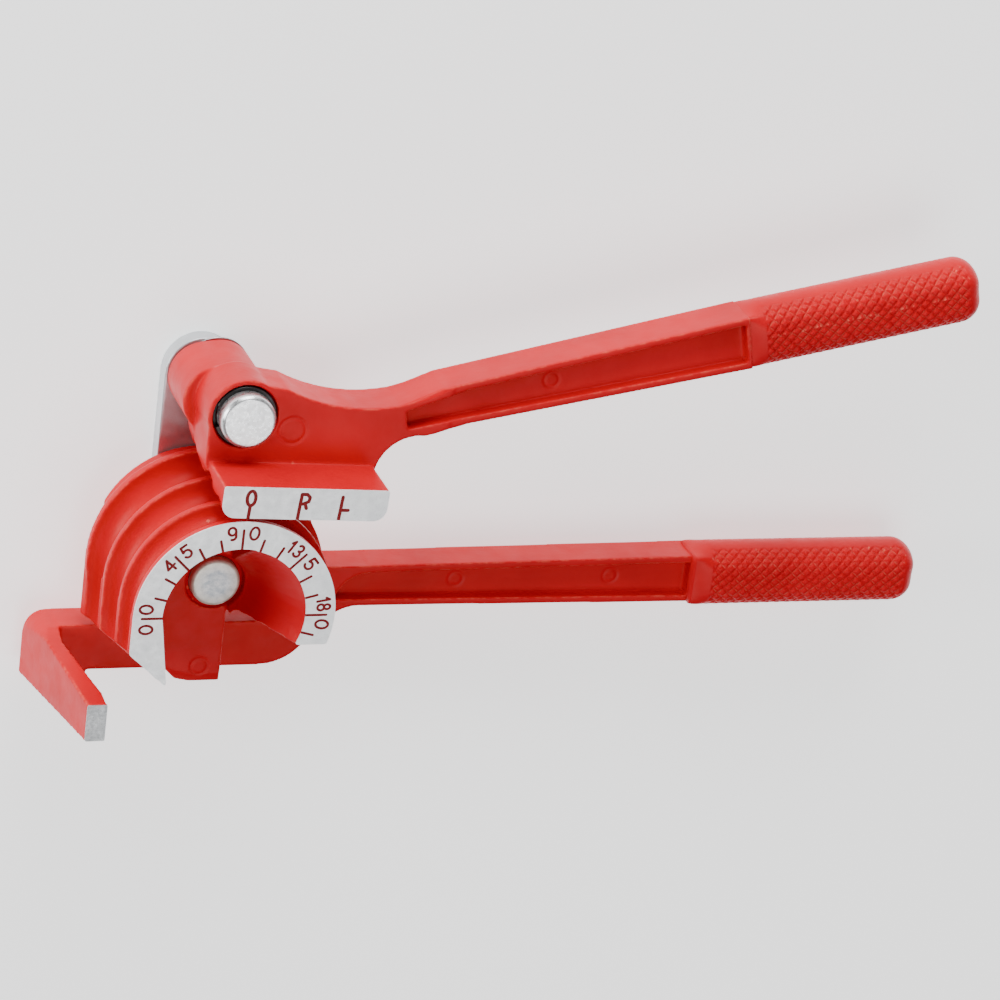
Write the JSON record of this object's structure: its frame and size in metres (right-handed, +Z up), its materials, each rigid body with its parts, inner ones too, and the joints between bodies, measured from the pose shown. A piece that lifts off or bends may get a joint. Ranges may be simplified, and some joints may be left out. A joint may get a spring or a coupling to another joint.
{
  "type": "manual tube bender",
  "caption": "Hand tube bender: a grooved former on one handle, a grooved shoe on the other, and a link between two hinge pins.",
  "frame": {"origin": "where the former's axis meets the bench, with the tool lying on its link plate", "axes": "+X along the lower handle to its grip, +Y across the tool towards the upper handle, +Z up along the hinge axes towards the degree scale"},
  "size_m": [0.2135, 0.1093, 0.045],
  "materials": {
    "red_paint": "semi-gloss powder coat on a die casting",
    "zinc_plate": "bright zinc plating",
    "pin_steel": "turned steel",
    "black_spring": "blackened spring steel"
  },
  "bodies": {
    "lower": {"lower_handle": "red_paint"},
    "link": {"link_plate": "zinc_plate", "former_pin": "pin_steel", "handle_pin": "pin_steel", "retaining_ring": "black_spring", "wave_washer": "black_spring", "former_washer": "zinc_plate", "handle_washer": "zinc_plate"},
    "upper": {"upper_handle": "red_paint"}
  },
  "joints": [
    {"name": "link_swing", "type": "hinge", "parent": "lower", "child": "link", "pos_m": [0, 0, 0.02], "axis": [0, 0, 1], "range_deg": [-77, 92]},
    {"name": "handle_pivot", "type": "hinge", "parent": "link", "child": "upper", "pos_m": [0.0017, 0.04147, 0.02], "axis": [0, 0, 1], "range_deg": [-8, 88]}
  ]
}
